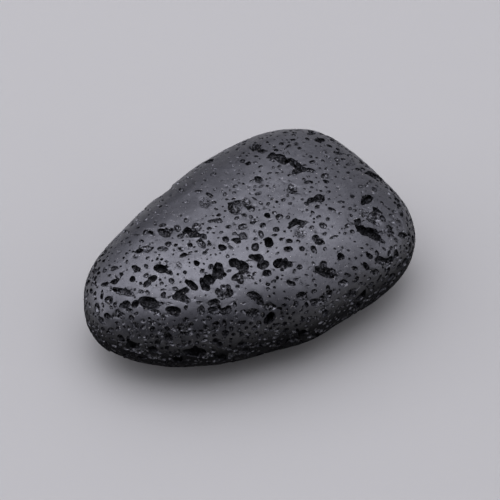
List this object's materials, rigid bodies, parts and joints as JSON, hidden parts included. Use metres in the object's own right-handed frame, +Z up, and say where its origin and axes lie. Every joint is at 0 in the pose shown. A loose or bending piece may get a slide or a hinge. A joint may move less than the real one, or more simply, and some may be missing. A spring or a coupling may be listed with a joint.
{
  "type": "lava rock",
  "caption": "Rounded, flattened lava stone with one narrow end, a smooth worn skin and many open gas pits.",
  "frame": {"origin": "on the surface the stone lies on, under the middle of its bounding box", "axes": "+X along the stone's length towards its broad end, +Y across it, +Z up"},
  "size_m": [0.0556, 0.0382, 0.0198],
  "materials": {
    "basalt": "worn smooth with a low sheen, rough inside the pits"
  },
  "bodies": {
    "root": {"lava_rock": "basalt"}
  },
  "joints": []
}
